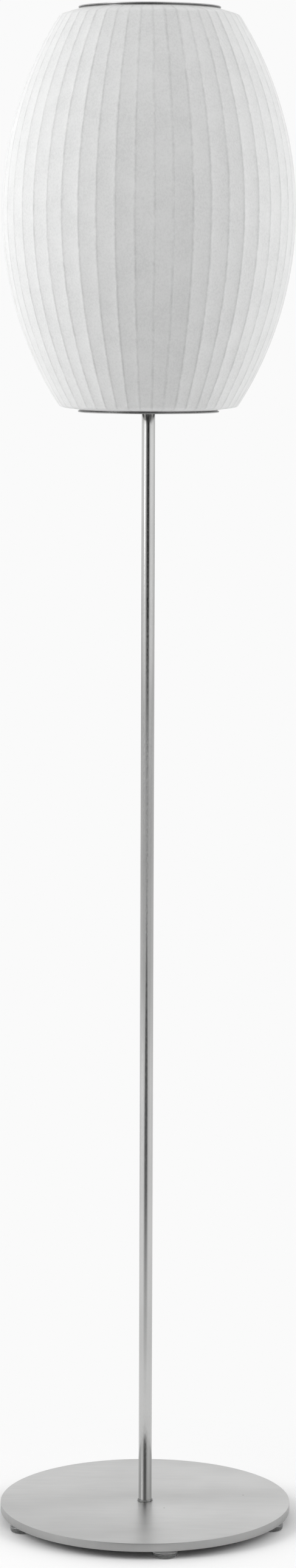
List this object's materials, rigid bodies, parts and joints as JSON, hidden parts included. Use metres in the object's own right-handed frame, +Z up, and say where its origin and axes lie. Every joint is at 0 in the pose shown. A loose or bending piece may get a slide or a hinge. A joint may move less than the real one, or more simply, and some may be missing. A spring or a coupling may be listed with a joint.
{
  "type": "bubble floor lamp",
  "caption": "Floor lamp with a tall ribbed barrel shade of white sprayed skin on a wire cage, a slim steel pole and a flat round steel base on clear feet.",
  "frame": {"origin": "on the floor, under the centre of the base disc", "axes": "+Z up along the pole, front of the lamp towards -Y, +X to the right seen from the front"},
  "size_m": [0.28, 0.28, 1.4404],
  "materials": {
    "brushed_steel": "satin",
    "polished_ring_steel": "polished",
    "cage_wire": "drawn wire",
    "plated_hardware": "zinc plated",
    "clear_bumper": "clear soft plastic",
    "clear_washer": "clear",
    "shade_skin": "sprayed translucent plastic",
    "black_plastic": "moulded",
    "socket_brass": "bright",
    "bulb_metal": "satin",
    "bulb_white": "frosted"
  },
  "bodies": {
    "stand": {"base_disc": "brushed_steel", "bumper_feet": "clear_bumper", "pole_seat_washer": "clear_washer", "pole_tube": "brushed_steel", "threaded_nipples": "plated_hardware", "flat_washers": "plated_hardware", "lock_washers": "plated_hardware", "nipple_nuts": "plated_hardware", "cord_bushing": "black_plastic", "shade_carrier": "plated_hardware", "socket_cap": "black_plastic", "socket_shell": "black_plastic", "socket_body": "black_plastic", "socket_screw_shell": "socket_brass", "socket_centre_contact": "socket_brass"},
    "shade": {"shade_skin": "shade_skin", "cage_wires": "cage_wire", "top_ring": "polished_ring_steel", "bottom_ring": "polished_ring_steel"},
    "bulb": {"bulb_screw_base": "bulb_metal", "bulb_tip_contact": "socket_brass", "bulb_globe": "bulb_white"},
    "key": {"switch_key": "socket_brass"}
  },
  "joints": [
    {"name": "shade_lift", "type": "slide", "parent": "stand", "child": "shade", "axis": [0, 0, 1], "range_m": [0, 0.25]},
    {"name": "bulb_turn", "type": "hinge", "parent": "stand", "child": "bulb", "pos_m": [0, 0, 1.118], "axis": [0, 0, 1], "range_deg": [0, 900]},
    {"name": "switch_key_turn", "type": "hinge", "parent": "stand", "child": "key", "pos_m": [0, 0.012, 1.0932], "axis": [0, 1, 0], "continuous": true}
  ]
}
